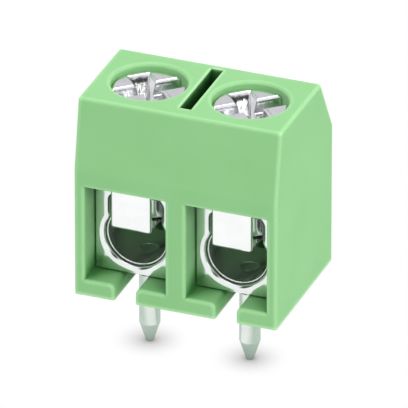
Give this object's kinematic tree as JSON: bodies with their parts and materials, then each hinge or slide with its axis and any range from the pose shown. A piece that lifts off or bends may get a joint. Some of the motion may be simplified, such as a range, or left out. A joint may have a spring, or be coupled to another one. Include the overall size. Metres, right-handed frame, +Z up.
{
  "type": "pcb terminal block",
  "caption": "Green screw terminal block for a circuit board; each pole has a wire entry, a clamp screw with a wire guard, and a solder pin.",
  "frame": {"origin": "on the board plane under the housing, midway between the axes of the two solder pins", "axes": "+X along the row of poles, -Y out of the wire entries, +Z up out of the board, along the screws"},
  "size_m": [0.01, 0.0074, 0.0136],
  "materials": {
    "housing_plastic": "moulded polyamide, satin",
    "contact_tin": "bright tin plate on brass",
    "pin_tin": "tin plate on brass",
    "screw_zinc": "bright zinc plate on steel",
    "guard_tin": "bright tin plate on spring bronze"
  },
  "bodies": {
    "root": {"housing": "housing_plastic", "contact_1": "contact_tin", "contact_2": "contact_tin", "solder_pin_1": "pin_tin", "solder_pin_2": "pin_tin"},
    "guard_1": {"wire_guard_1": "guard_tin"},
    "screw_1": {"clamp_screw_1": "screw_zinc"},
    "guard_2": {"wire_guard_2": "guard_tin"},
    "screw_2": {"clamp_screw_2": "screw_zinc"}
  },
  "joints": [
    {"name": "screw_1_travel", "type": "slide", "parent": "root", "child": "guard_1", "axis": [0, 0, -1], "range_m": [0, 0.00135], "deforming": ["wire_guard_1"]},
    {"name": "screw_1_turn", "type": "hinge", "parent": "guard_1", "child": "screw_1", "pos_m": [-0.0025, 0, 0.0081], "axis": [0, 0, -1], "range_deg": [0, 1080]},
    {"name": "screw_2_travel", "type": "slide", "parent": "root", "child": "guard_2", "axis": [0, 0, -1], "range_m": [0, 0.00135], "deforming": ["wire_guard_2"]},
    {"name": "screw_2_turn", "type": "hinge", "parent": "guard_2", "child": "screw_2", "pos_m": [0.0025, 0, 0.0081], "axis": [0, 0, -1], "range_deg": [0, 1080]}
  ],
  "couplings": [
    {"joint": "screw_1_turn", "follows": "screw_1_travel", "rad_per_m": 13963},
    {"joint": "screw_2_turn", "follows": "screw_2_travel", "rad_per_m": 13963}
  ]
}
